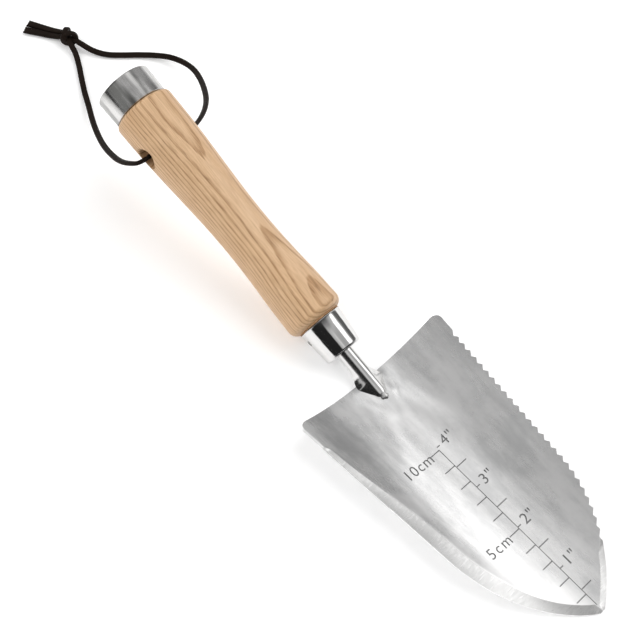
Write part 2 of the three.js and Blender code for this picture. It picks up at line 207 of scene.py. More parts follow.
def tool_matrix():
    """The tool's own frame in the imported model, read off the flat face of the butt."""
    face = next(m for m in frame["record"]["mounts"] if m["name"] == "butt_face")
    along = -Vector(face["axis"])
    across = Vector((1, 0, 0))
    up = across.cross(along)
    turn = Matrix((across, along, up)).transposed().to_4x4()
    return Matrix.Translation(Vector(face["pos_m"])) @ turn


TOOL = tool_matrix()


def make_piece(name, vertices, faces, matrix=None, crease_degrees=35):
    """One closed mesh, placed by the matrix, with its vertices in the model's own frame."""
    mesh = bpy.data.meshes.new(name)
    mesh.from_pydata([tuple(v) for v in vertices], [], [tuple(f) for f in faces])
    tidy = bmesh.new()
    tidy.from_mesh(mesh)
    bmesh.ops.remove_doubles(tidy, verts=tidy.verts, dist=1e-7)
    bmesh.ops.dissolve_degenerate(tidy, edges=tidy.edges, dist=1e-8)
    bmesh.ops.recalc_face_normals(tidy, faces=tidy.faces)
    tidy.to_mesh(mesh)
    tidy.free()
    if matrix is not None:
        mesh.transform(matrix)
    piece = bpy.data.objects.new(name, mesh)
    bpy.context.scene.collection.objects.link(piece)
    shade(piece, crease_degrees)
    return piece


def shade(piece, crease_degrees):
    """Smooth shading, with a crease wherever two faces meet more sharply than this."""
    mesh = piece.data
    mesh.polygons.foreach_set("use_smooth", [True] * len(mesh.polygons))
    mesh.set_sharp_from_angle(angle=math.radians(crease_degrees))


def grid_faces(rows, columns, row_loop=False, column_loop=False, offset=0):
    """The quads of a grid of points stored row by row."""
    faces = []
    for r in range(rows if row_loop else rows - 1):
        for c in range(columns if column_loop else columns - 1):
            r1 = (r + 1) % rows
            c1 = (c + 1) % columns
            faces.append(tuple(
                offset + i * columns + j for i, j in ((r, c), (r, c1), (r1, c1), (r1, c))
            ))
    return faces


def merged(parts):
    """The vertices and faces of several parts, as one mesh."""
    vertices = []
    faces = []
    for corners, sides in parts:
        offset = len(vertices)
        vertices.extend(corners)
        faces.extend(tuple(i + offset for i in side) for side in sides)
    return vertices, faces


def arc(centre_radius, centre_along, round_radius, start, end, steps=8):
    """Outline points of a round corner, as (radius, along); angles in degrees."""
    angles = np.radians(np.linspace(start, end, steps + 1))
    return [
        (centre_radius + round_radius * math.cos(a), centre_along + round_radius * math.sin(a))
        for a in angles
    ]


def hermite(t, width, start, end, start_slope, end_slope):
    """The smooth value at t, from 0 to 1, between two knots that are width apart."""
    return (
        (2 * t ** 3 - 3 * t ** 2 + 1) * start
        + (t ** 3 - 2 * t ** 2 + t) * width * start_slope
        + (-2 * t ** 3 + 3 * t ** 2) * end
        + (t ** 3 - t ** 2) * width * end_slope
    )


def smooth_outline(knots, count):
    """A curve through outline knots (along, radius), sampled evenly, as (radius, along)."""
    along = np.array([k[0] for k in knots])
    radius = np.array([k[1] for k in knots])
    slopes = np.gradient(radius, along)
    samples = np.linspace(along[0], along[-1], count)
    result = []
    for y in samples:
        i = min(int(np.searchsorted(along, y, side="right")) - 1, len(along) - 2)
        width = along[i + 1] - along[i]
        t = (y - along[i]) / width
        value = hermite(t, width, radius[i], radius[i + 1], slopes[i], slopes[i + 1])
        result.append((value, y))
    return result


def turned(name, outline, segments=128, axis="Y", matrix=TOOL, crease_degrees=35):
    """A closed body of revolution from an outline of (radius, along) points."""
    angles = np.linspace(0, 2 * math.pi, segments, endpoint=False)
    vertices = []
    for radius, along in outline:
        for a in angles:
            x, z = radius * math.sin(a), radius * math.cos(a)
            vertices.append((x, along, z) if axis == "Y" else (along, x, z))
    closes = outline[0][0] > 0 and outline[-1][0] > 0
    faces = grid_faces(len(outline), segments, row_loop=closes, column_loop=True)
    return make_piece(name, vertices, faces, matrix, crease_degrees)


def turned_across(name, outline, segments, from_butt):
    """A body of revolution about a line that crosses the handle at right angles."""
    place = TOOL @ Matrix.Translation((0, from_butt, 0))
    return turned(name, outline, segments, "X", place)


def cut_away(piece, cutter, crease_degrees=35, overlapping=False):
    """Cuts one piece out of another and throws the cutter away.

    overlapping says that the cutter's own parts may run into each other.
    """
    modifier = piece.modifiers.new("cut", "BOOLEAN")
    modifier.operation = "DIFFERENCE"
    modifier.solver = "EXACT"
    modifier.use_self = overlapping
    modifier.object = cutter
    bake_modifiers(piece)
    bpy.data.objects.remove(cutter)
    shade(piece, crease_degrees)


def bake_modifiers(piece):
    depsgraph = bpy.context.evaluated_depsgraph_get()
    baked = bpy.data.meshes.new_from_object(piece.evaluated_get(depsgraph))
    piece.modifiers.clear()
    piece.data = baked


# ---- thong

def spline_points(knots, spacing):
    """Points at about the given spacing on a smooth curve through the knots."""
    knots = np.array(knots, float)
    lengths = np.linalg.norm(np.diff(knots, axis=0), axis=1) ** 0.5
    times = np.concatenate([[0], np.cumsum(lengths)])
    slopes = np.gradient(knots, times, axis=0)
    result = []
    for i in range(len(knots) - 1):
        width = times[i + 1] - times[i]
        steps = max(2, round(np.linalg.norm(knots[i + 1] - knots[i]) / spacing))
        for t in np.arange(steps) / steps:
            result.append(hermite(t, width, knots[i], knots[i + 1], slopes[i], slopes[i + 1]))
    result.append(knots[-1])
    return np.array(result)


def sweep(path, section, first_side, spread=1.0):
    """Vertices and faces of a closed tube: a flat section carried along a path.

    first_side is the direction of the section's width at the start of the path; it is
    carried along without twist. spread is the width at the far end over that at the start.
    """
    path = np.array(path)
    tangents = np.gradient(path, axis=0)
    tangents /= np.linalg.norm(tangents, axis=1)[:, None]
    side = np.array(first_side, float)
    vertices = []
    widths = np.linspace(1.0, spread, len(path))
    for centre, tangent, width in zip(path, tangents, widths):
        side = side - tangent * side.dot(tangent)
        side /= np.linalg.norm(side)
        up = np.cross(side, tangent)
        for across, height in section:
            vertices.append(centre + side * across * width + up * height)
    count = len(section)
    faces = grid_faces(len(path), count, column_loop=True)
    faces.append(tuple(range(count)))
    faces.append(tuple(range((len(path) - 1) * count, len(path) * count))[::-1])
    return vertices, faces


def lace_section(width=LACE_WIDTH, thickness=LACE_THICKNESS, count=16):
    """A flat lace's cross-section: a rectangle with well rounded corners."""
    section = []
    for i in range(count):
        a = 2 * math.pi * (i + 0.5) / count
        c, s = math.cos(a), math.sin(a)
        section.append((
            math.copysign(abs(c) ** 0.6, c) * width / 2,
            math.copysign(abs(s) ** 0.6, s) * thickness / 2,
        ))
    return section


def make_lace():
    """The lace's loop, from the knot through the handle and back."""
    path = spline_points(LACE_ROUTE, 0.0012)
    vertices, faces = sweep(path, lace_section(), first_side=(1, 0, 0))
    lace = make_piece("leather_lace", vertices, faces, crease_degrees=60)
    return lace, path


lace, lace_path = make_lace()


# The knot: both legs run through it, and two turns of lace are wound round them.
KNOT_LEGS = [  # millimetres from the knot's middle, loop side first
    [(2.0, 5.3, -1.0), (1.6, 3.2, -0.5), (0.4, 0.5, 0.0), (-0.6, -2.8, -0.5), (-0.1, -6.0, -1.8)],
    [(-2.2, 5.3, -1.0), (-1.7, 3.2, -0.6), (0.4, 0.2, -0.8), (1.8, -2.0, -1.0), (2.9, -4.2, -1.8)],
]
KNOT_TURNS = [  # the turn's axis, its middle and its radius in millimetres
    ((0.50, 0.84, 0.20), (0.2, 1.2, 0.0), 3.8),
    ((-0.62, 0.78, 0.10), (0.1, -1.5, -0.1), 3.7),
]
KNOT_FLATNESS = 0.82


def make_knot():
    """The overhand knot: its legs and turns of lace, fused into one body."""
    low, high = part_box("thong_knot")
    middle = np.array((low + high) / 2)
    parts = []
    for leg in KNOT_LEGS:
        path = middle + spline_points(leg, 0.5) * 0.001
        parts.append(sweep(path, lace_section(), first_side=(1, 0, 0)))
    for axis, centre, radius in KNOT_TURNS:
        axis = Vector(axis).normalized()
        first = axis.orthogonal().normalized()
        second = axis.cross(first)
        turn = []
        for a in np.linspace(0, 2 * math.pi, 49):
            spot = first * math.cos(a) + second * math.sin(a)
            turn.append(middle + (np.array(centre) + np.array(spot) * radius) * 0.001)
        parts.append(sweep(turn, lace_section(), first_side=axis))
    vertices, faces = merged(parts)
    flattened = [(x, y, middle[2] + (z - middle[2]) * KNOT_FLATNESS) for x, y, z in vertices]
    knot = make_piece("lace_knot", flattened, faces)
    fuse = knot.modifiers.new("fuse", "REMESH")
    fuse.mode = "VOXEL"
    fuse.voxel_size = 0.00016
    soften = knot.modifiers.new("soften", "SMOOTH")
    soften.iterations = 3
    bake_modifiers(knot)
    shade(knot, 60)
    return knot


def make_tail(name):
    """A flat tail that widens towards its end, with a V cut into the end."""
    path = spline_points(TAIL_ROUTES[name], 0.0008)
    section = lace_section(thickness=TAIL_THICKNESS)
    vertices, faces = sweep(path, section, first_side=(1, 0, 0), spread=TAIL_SPREAD)
    along = (path[-1] - path[-2]) / np.linalg.norm(path[-1] - path[-2])
    for i, (across, _) in enumerate(section):
        reach = 1 - abs(across) / (LACE_WIDTH / 2)
        vertices[len(vertices) - len(section) + i] -= along * TAIL_NOTCH * reach
    return make_piece(name, vertices, faces, crease_degrees=50)


knot = make_knot()
tails = [make_tail(name) for name in TAIL_ROUTES]


# ---- handle

def ferrule_radius(along):
    """The ferrule's outer radius at a distance from the butt."""
    share = (along - WOOD_FRONT) / FERRULE_LENGTH
    return FERRULE_REAR_RADIUS + (FERRULE_FRONT_RADIUS - FERRULE_REAR_RADIUS) * share


def make_handle():
    """The turned wood with its cap spigot, tenon, tang bore and cross holes."""
    grip = smooth_outline(GRIP_OUTLINE, 90)
    rear_radius, rear = grip[0]
    front_radius, front = grip[-1]
    spigot_radius = CAP_MOUTH_RADIUS - CAP_WALL - JOINT_GAP
    tenon_end = FERRULE_FRONT - FERRULE_WALL - JOINT_GAP
    tenon_inset = FERRULE_WALL + JOINT_GAP
    bore_radius = TANG_RADIUS + JOINT_GAP
    outline = [
        (0, CAP_WALL + JOINT_GAP),
        (spigot_radius, CAP_WALL + JOINT_GAP),
        (spigot_radius, CAP_LENGTH + 1.5 * SEAM),
        *arc(rear_radius - WOOD_REAR_ROUND, rear, WOOD_REAR_ROUND, -90, 0),
        *grip[1:-1],
        *arc(front_radius - WOOD_FRONT_ROUND, front, WOOD_FRONT_ROUND, 0, 80, 12),
        (FERRULE_REAR_RADIUS - SEAM, WOOD_FRONT - SEAM),
        (FERRULE_REAR_RADIUS - tenon_inset, WOOD_FRONT - SEAM),
        (ferrule_radius(tenon_end) - tenon_inset, tenon_end),
        (bore_radius, tenon_end),
        (bore_radius, TANG_END - JOINT_GAP),
        (0, TANG_END - JOINT_GAP - 0.001),
    ]
    handle = turned("ash_handle", outline, segments=160)
    cut_away(handle, make_hole_cutter())
    drill_pin_hole(handle)
    return handle


def drill_pin_hole(piece, crease_degrees=35):
    """Cuts the cross pin's hole through a piece of the handle's front end."""
    reach = 0.02
    radius = PIN_RADIUS + SEAM
    rod = [(0, -reach), (radius, -reach), (radius, reach), (0, reach)]
    cut_away(piece, turned_across("pin_cutter", rod, 48, PIN_FROM_BUTT), crease_degrees)


def make_hole_cutter():
    """The thong's hole with its softly flared mouths, along X through the handle."""
    surface = GRIP_RADIUS_AT_HOLE
    beyond = surface + 0.004
    flare = HOLE_MOUTH_RADIUS - HOLE_RADIUS
    mouth = [
        (HOLE_RADIUS + flare - flare * math.cos(a), surface - flare + flare * math.sin(a))
        for a in np.radians(np.linspace(0, 75, 8))
    ]
    mouth.append((HOLE_MOUTH_RADIUS + 0.003, beyond))
    half = [(0, beyond), *reversed(mouth)]
    outline = half + [(r, -along) for r, along in reversed(half)]
    return turned_across("hole_cutter", outline, 64, HOLE_FROM_BUTT)


def make_cap():
    """The steel cup over the butt."""
    inner = CAP_MOUTH_RADIUS - CAP_WALL
    outline = [
        (0, 0),
        *arc(CAP_END_RADIUS - CAP_EDGE_ROUND, CAP_EDGE_ROUND, CAP_EDGE_ROUND, -90, 0),
        (CAP_MOUTH_RADIUS + 0.00004, CAP_LENGTH - CAP_CHAMFER),
        (CAP_MOUTH_RADIUS - 2 * SEAM, CAP_LENGTH),
        (inner, CAP_LENGTH),
        (inner, CAP_WALL),
        (0, CAP_WALL),
    ]
    return turned("end_cap", outline)


def make_ferrule():
    """The tapered steel cup between the wood and the bare neck."""
    bead_middle = WOOD_FRONT + 0.0005
    bead_end = WOOD_FRONT + 0.0010
    neck_hole = NECK_RADIUS + 0.00012
    round_start = FERRULE_FRONT - FERRULE_EDGE_ROUND
    outline = [
        (FERRULE_REAR_RADIUS - FERRULE_WALL, WOOD_FRONT),
        (FERRULE_REAR_RADIUS - 2 * SEAM, WOOD_FRONT),
        *arc(FERRULE_REAR_RADIUS, bead_middle, FERRULE_BEAD, -90, 90, 6),
        (ferrule_radius(bead_end), bead_end),
        *arc(
            ferrule_radius(round_start) - FERRULE_EDGE_ROUND, round_start,
            FERRULE_EDGE_ROUND, 6, 90, 10,
        ),
        (NECK_RADIUS + 0.0004, FERRULE_FRONT),
        (neck_hole, FERRULE_FRONT - 0.0003),
        (neck_hole, FERRULE_FRONT - FERRULE_WALL),
        (ferrule_radius(FERRULE_FRONT) - FERRULE_WALL, FERRULE_FRONT - FERRULE_WALL),
    ]
    ferrule = turned("steel_ferrule", outline)
    drill_pin_hole(ferrule)
    return ferrule


def make_pin():
    """A steel pin with slightly domed ends, just below the ferrule's surface."""
    end = ferrule_radius(PIN_FROM_BUTT) - 2 * SEAM
    height = 0.0003
    dome = [
        (PIN_RADIUS * math.cos(a), end - height + height * math.sin(a))
        for a in np.radians(np.linspace(0, 90, 7))
    ]
    outline = [(r, -along) for r, along in reversed(dome)] + dome
    return turned_across("cross_pin", outline, 32, PIN_FROM_BUTT)


# ---- blade

def smooth_step(value, low, high):
    """Rises from 0 to 1 between low and high, level at both ends."""
    t = min(1.0, max(0.0, (value - low) / (high - low)))
    return t * t * (3 - 2 * t)


def blade_half_width(back):
    """Half the width at a distance back from the tip: an arched point, then the sides."""
    slope = (SHOULDER_HALF_WIDTH - POINT_HALF_WIDTH) / (BLADE_LENGTH - POINT_LENGTH)
    if back < POINT_LENGTH:
        rise = POINT_HALF_WIDTH - TIP_HALF_WIDTH
        tilt = math.atan(slope)
        radius = (POINT_LENGTH ** 2 + rise ** 2) / (
            2 * (rise * math.cos(tilt) - POINT_LENGTH * math.sin(tilt))
        )
        centre_back = POINT_LENGTH + radius * math.sin(tilt)
        centre_width = POINT_HALF_WIDTH - radius * math.cos(tilt)
        return centre_width + math.sqrt(radius ** 2 - (back - centre_back) ** 2)
    side = POINT_HALF_WIDTH + slope * (back - POINT_LENGTH)
    into_corner = back - (BLADE_LENGTH - SHOULDER_ROUND)
    if into_corner <= 0:
        return side
    drop = SHOULDER_ROUND ** 2 - min(into_corner, SHOULDER_ROUND) ** 2
    return side - SHOULDER_ROUND + math.sqrt(drop)


def blade_relief(x, back):
    """The soft swell pressed up in the sheet round the neck's foot, and its two creases."""
    ahead = BLADE_LENGTH - back
    rim_along = smooth_step(ahead, -0.002, 0.004) * (1 - smooth_step(ahead, 0.012, 0.026))
    rim_reach = RIM_REACH - RIM_NARROWING * smooth_step(ahead, 0.004, 0.018)
    rim = RIM_HEIGHT * rim_along * math.exp(-((abs(x) / rim_reach) ** 4))
    fan = 0.0035 + 0.24 * ahead
    crease_along = smooth_step(ahead, 0.006, 0.016) * (1 - smooth_step(ahead, 0.026, 0.062))
    crease_width = 0.0030 + 0.05 * ahead
    creases = CREASE_HEIGHT * crease_along * sum(
        math.exp(-(((x - side * fan) / crease_width) ** 2)) for side in (-1, 1)
    )
    return rim + creases


def blade_point(x, back, height):
    """A point of the blade in the tool's frame, from the rolled hollow face."""
    rolled = BLADE_ROLL_RADIUS - math.sqrt(BLADE_ROLL_RADIUS ** 2 - x ** 2)
    lean = math.asin(x / BLADE_ROLL_RADIUS)
    height = height + blade_relief(x, back)
    across = x - height * math.sin(lean)
    up = rolled + height * math.cos(lean)
    return Vector((
        across,
        BLADE_TIP.y - back * math.cos(BLADE_PITCH) - up * math.sin(BLADE_PITCH),
        BLADE_TIP.z - back * math.sin(BLADE_PITCH) + up * math.cos(BLADE_PITCH),
    ))


def tooth_cut(back):
    """How deep the serrated edge is cut in at a distance back from the tip."""
    pitch = (TEETH_TO_TIP - TEETH_FROM_TIP) / TOOTH_COUNT
    phase = (back - TEETH_FROM_TIP) / pitch
    if phase < 0 or phase > TOOTH_COUNT:
        return 0.0
    return TOOTH_DEPTH * 2 * abs(phase - round(phase))


def edge_slope(back):
    """How fast the blade widens at a distance back from the tip."""
    step = 0.0005
    low = max(0.0, back - step)
    high = min(BLADE_LENGTH - SHOULDER_ROUND, back + step)
    return (blade_half_width(high) - blade_half_width(low)) / max(1e-6, high - low)


def bevel_width(back, side):
    """How far in from the edge the ground bevel reaches, measured straight across."""
    lean = math.sqrt(1 + edge_slope(min(back, BLADE_LENGTH - SHOULDER_ROUND)) ** 2)
    if side > 0:
        square = 0.0042 + 0.0026 * smooth_step(back, 0.004, 0.050)
        square *= 1 - 0.78 * smooth_step(back, 0.070, BEVEL_START)
        square *= 1 - smooth_step(back, BEVEL_START - 0.003, BEVEL_START)
    else:
        square = 0.0030 * (1 - smooth_step(back, 0.017, 0.025))
    return min(square * lean, 0.92 * blade_half_width(back))


def blade_rows():
    """Distances back from the tip, rear edge first, with eight rows to every tooth."""
    corner = [
        BLADE_LENGTH - SHOULDER_ROUND + SHOULDER_ROUND * math.sin(a)
        for a in np.linspace(math.pi / 2, 0, 12)
    ]
    plain = list(np.linspace(BLADE_LENGTH - SHOULDER_ROUND, TEETH_TO_TIP, 9)[1:-1])
    teeth = list(np.linspace(TEETH_TO_TIP, TEETH_FROM_TIP, 8 * TOOTH_COUNT + 1))
    point = [TEETH_FROM_TIP * (1 - t) ** 1.3 for t in np.linspace(0, 1, 36)[1:]]
    return corner + plain + teeth + point


def blade_columns(back):
    """Positions across the blade at one row: closer at the edges and at the bevels."""
    half = blade_half_width(back)
    left_bevel = bevel_width(back, -1)
    right_bevel = bevel_width(back, 1)
    notch = tooth_cut(back)
    edge_band = min(0.0022, 0.3 * half)
    left_inner = -half + max(left_bevel, edge_band)
    right_inner = half - max(right_bevel, min(0.0004, 0.1 * half))
    left_edge = -(half - notch)
    left = [left_edge + (left_inner - left_edge) * t for t in (0, 0.12, 0.3, 0.5, 0.7, 0.88, 1)]
    middle = list(np.linspace(left_inner, right_inner, 54)[1:-1])
    right = [right_inner + (half - right_inner) * t for t in (0, 0.04, 0.25, 0.5, 0.75, 1)]
    return left + middle + right


def ground_depth(x, back):
    """How much the bevels take off the hollow face."""
    half = blade_half_width(back)
    side = 1 if x > 0 else -1
    width = bevel_width(back, side)
    inward = half - abs(x)
    if width < 1e-5 or inward >= width:
        return 0.0
    full = BLADE_THICKNESS - BEVEL_EDGE_THICKNESS
    shallow = min(1.0, width / 0.0030)
    return full * shallow * (1 - inward / width)


def make_blade():
    """The rolled sheet with its teeth and bevels, before the scale is cut into it."""
    rows = blade_rows()
    top = []
    bottom = []
    for back in rows:
        columns = blade_columns(back)
        top.append([blade_point(x, back, -ground_depth(x, back)) for x in columns])
        bottom.append([blade_point(x, back, -BLADE_THICKNESS) for x in columns])
    count = len(top[0])
    vertices = [v for row in top for v in row] + [v for row in bottom for v in row]
    under = len(rows) * count
    faces = grid_faces(len(rows), count)
    faces += [face[::-1] for face in grid_faces(len(rows), count, offset=under)]
    last = (len(rows) - 1) * count
    for c in range(count - 1):
        faces.append((c + 1, c, under + c, under + c + 1))
        faces.append((last + c, last + c + 1, under + last + c + 1, under + last + c))
    for r in range(len(rows) - 1):
        near, far = r * count, (r + 1) * count
        faces.append((near, far, under + far, under + near))
        near, far = near + count - 1, far + count - 1
        faces.append((far, near, under + near, under + far))
    return make_piece("engraved_blade", vertices, faces, TOOL, crease_degrees=20)


def bar(x_from, x_to, back_from, back_to, steps=4):
    """The cutter for one straight mark, laid out on the blade's hollow face."""
    corners = []
    for i in range(steps + 1):
        back = back_from + (back_to - back_from) * i / steps
        for x, height in (
            (x_from, -MARK_DEPTH), (x_to, -MARK_DEPTH), (x_to, MARK_CLEAR), (x_from, MARK_CLEAR),
        ):
            corners.append(blade_point(x, back, height))
    faces = grid_faces(steps + 1, 4, column_loop=True)
    faces += [(0, 1, 2, 3), tuple(4 * steps + i for i in (3, 2, 1, 0))]
    return corners, faces


def mark_bars():
    """The depth scale: a centre line, centimetres on one side and inches on the other."""
    clear = LINE_WIDTH / 2 + 0.00005
    line_end = 10 * CENTIMETRE + MARK_WIDTH / 2
    bars = [bar(-LINE_WIDTH / 2, LINE_WIDTH / 2, LINE_FROM_TIP, line_end, steps=40)]
    for centimetre in range(1, 11):
        back = centimetre * CENTIMETRE
        bars.append(bar(clear, clear + LONG_MARK, back - MARK_WIDTH / 2, back + MARK_WIDTH / 2))
    for half_inch in range(1, 9):
        back = half_inch * INCH / 2
        length = SHORT_MARK if half_inch % 2 == 0 else LONG_MARK
        bars.append(bar(-clear - length, -clear, back - MARK_WIDTH / 2, back + MARK_WIDTH / 2))
    return bars


def figure(text, start_x, back, height=FIGURE_HEIGHT, spread=1.0):
    """The cutter for one label, read with the handle upwards."""
    curve = bpy.data.curves.new(text, "FONT")
    curve.body = text
    curve.size = height / 0.7
    curve.space_character = spread
    curve.extrude = 0.0001
    curve.resolution_u = 4
    lettering = bpy.data.objects.new(text, curve)
    bpy.context.scene.collection.objects.link(lettering)
    bpy.context.view_layer.update()
    depsgraph = bpy.context.evaluated_depsgraph_get()
    mesh = bpy.data.meshes.new_from_object(lettering.evaluated_get(depsgraph))
    corners = []
    for vertex in mesh.vertices:
        level = MARK_CLEAR if vertex.co.z > 0 else -MARK_DEPTH
        place = blade_point(start_x - vertex.co.x, back - height / 2 + vertex.co.y, level)
        corners.append(place)
    faces = [tuple(p.vertices) for p in mesh.polygons]
    bpy.data.objects.remove(lettering)
    return corners, faces


def label_figures():
    """The figures: two in centimetres, and one for every inch."""
    shapes = [
        figure("10cm", 0.0228, 10 * CENTIMETRE, spread=1.12),
        figure("5cm", 0.0208, 5 * CENTIMETRE, spread=1.25),
    ]
    for inch in range(1, 5):
        shapes.append(figure(
            f'{inch}"', -INCH_FIGURE_FROM_LINE, inch * INCH + FIGURE_DROP, spread=1.1,
        ))
    return shapes


def engrave(blade):
    """Cuts the scale; the figures' own parts overlap, and the straight marks' don't."""
    for shapes, overlapping in ((mark_bars(), False), (label_figures(), True)):
        cutter = make_piece("mark_cutter", *merged(shapes), TOOL)
        for material in blade.data.materials:
            cutter.data.materials.append(material)
        for polygon in cutter.data.polygons:
            # The cut faces take the engraved material, whose dark base colour is painted shade in
            # the grooves.
            polygon.material_index = ENGRAVED_SHADE_SLOT
        cut_away(blade, cutter, crease_degrees=20, overlapping=overlapping)


def face_ground_edges(blade):
    """Gives the ground bevels their own material."""
    mesh = blade.data
    to_tool = TOOL.inverted()
    for polygon in mesh.polygons:
        if polygon.material_index == ENGRAVED_SHADE_SLOT:
            continue
        centre = to_tool @ polygon.center
        facing_up = (to_tool.to_3x3() @ polygon.normal).z > 0.5
        offset = BLADE_TIP - centre
        back = offset.y * math.cos(BLADE_PITCH) + offset.z * math.sin(BLADE_PITCH)
        if facing_up and 0 < back < BLADE_LENGTH and ground_depth(centre.x, back) > 0:
            polygon.material_index = GROUND_SLOT


# ---- neck

def foot_half_width(along):
    """Half the foot's width where it meets the blade: flared, then in again to the nose."""
    if along <= FLARE_END:
        flare = smooth_step(along, FLARE_START, FLARE_END) ** 1.6
        return NECK_RADIUS + (FOOT_HALF_WIDTH - NECK_RADIUS) * flare
    share = min(1.0, (along - FLARE_END) / (NOSE_START - FLARE_END))
    return FOOT_HALF_WIDTH + (NOSE_HALF_WIDTH - FOOT_HALF_WIDTH) * share


def flank_height(x, half_width, base):
    """The section's height at x: the rod's round top, with straight flanks to its base."""
    reach = math.hypot(half_width, base)
    if reach > NECK_RADIUS:
        tangent = math.atan2(half_width, base) - math.acos(NECK_RADIUS / reach)
        touch_x = NECK_RADIUS * math.sin(tangent)
        touch_z = NECK_RADIUS * math.cos(tangent)
        if abs(x) > touch_x:
            return touch_z + (base - touch_z) * (abs(x) - touch_x) / (half_width - touch_x)
    return math.sqrt(max(0.0, NECK_RADIUS ** 2 - x ** 2))


def neck_ring(along, around):
    """One cross-section: round behind the blade, with straight flanks where it is on it."""
    on_blade = smooth_step(along, FLARE_START, BLADE_REAR + 0.001)
    half_width = foot_half_width(along)
    back = (BLADE_TIP.y - along) / math.cos(BLADE_PITCH)
    on_sheet = min(back, BLADE_LENGTH)
    sheet = blade_point(0, on_sheet, 0).z + (on_sheet - back) * math.sin(BLADE_PITCH)
    base = sheet * on_blade
    bottom = -NECK_RADIUS + (sheet - FOOT_SUNK + NECK_RADIUS) * on_blade
    if along > NOSE_START:
        half_width = min(half_width, math.sqrt(NECK_RADIUS ** 2 - base ** 2))
    over = max(0.0, (along - NOSE_START) / (FOOT_END - NOSE_START))
    nose = math.sqrt(max(0.01, 1 - over ** 2))
    ring = []
    for i in range(around):
        a = 2 * math.pi * (i + 0.5) / around
        x = half_width * math.cos(a)
        dished = BLADE_ROLL_RADIUS - math.sqrt(BLADE_ROLL_RADIUS ** 2 - x ** 2)
        if math.sin(a) > 0:
            z = base + (flank_height(x, half_width, base) - base) * nose
        else:
            z = base + (bottom - base) * -math.sin(a)
        ring.append((x * nose, along, z + dished * on_blade))
    return ring


def make_neck():
    """The forged rod: a tang in the handle, a bare neck, and a foot spread on the blade."""
    around = 96
    rings = []
    for along, radius in (
        (TANG_END, TANG_RADIUS / 3), (TANG_END + TANG_POINT, TANG_RADIUS),
        (FERRULE_FRONT - FERRULE_WALL, TANG_RADIUS),
    ):
        angles = [2 * math.pi * (i + 0.5) / around for i in range(around)]
        rings.append([(radius * math.cos(a), along, radius * math.sin(a)) for a in angles])
    for along in np.linspace(FERRULE_FRONT - 0.001, FOOT_END, 110):
        rings.append(neck_ring(along, around))
    vertices = [v for ring in rings for v in ring]
    faces = grid_faces(len(rings), around, column_loop=True)
    faces.append(tuple(range(around))[::-1])
    faces.append(tuple(range(len(vertices) - around, len(vertices))))
    neck = make_piece("forged_neck", vertices, faces, TOOL, crease_degrees=40)
    drill_pin_hole(neck, crease_degrees=40)
    return neck


def make_nose_bead():
    """The drop of weld at the foot's nose."""
    back = (BLADE_TIP.y - FOOT_END) / math.cos(BLADE_PITCH)
    centre = blade_point(0, back, 0.0)
    rows, columns = 15, 28
    vertices = []
    for r in range(rows):
        tilt = math.pi * (r + 0.5) / rows - math.pi / 2
        for c in range(columns):
            a = 2 * math.pi * c / columns
            lump = 1 + 0.10 * math.sin(3 * a + 1.0) + 0.07 * math.sin(5 * a)
            vertices.append((
                centre.x + BEAD_RADIUS * lump * math.cos(tilt) * math.cos(a),
                centre.y + 1.1 * BEAD_RADIUS * lump * math.cos(tilt) * math.sin(a),
                centre.z + BEAD_HEIGHT * math.sin(tilt),
            ))
    faces = grid_faces(rows, columns, column_loop=True)
    faces.append(tuple(range(columns))[::-1])
    faces.append(tuple(range(len(vertices) - columns, len(vertices))))
    return make_piece("nose_weld", vertices, faces, TOOL, crease_degrees=60)


# ---- materials

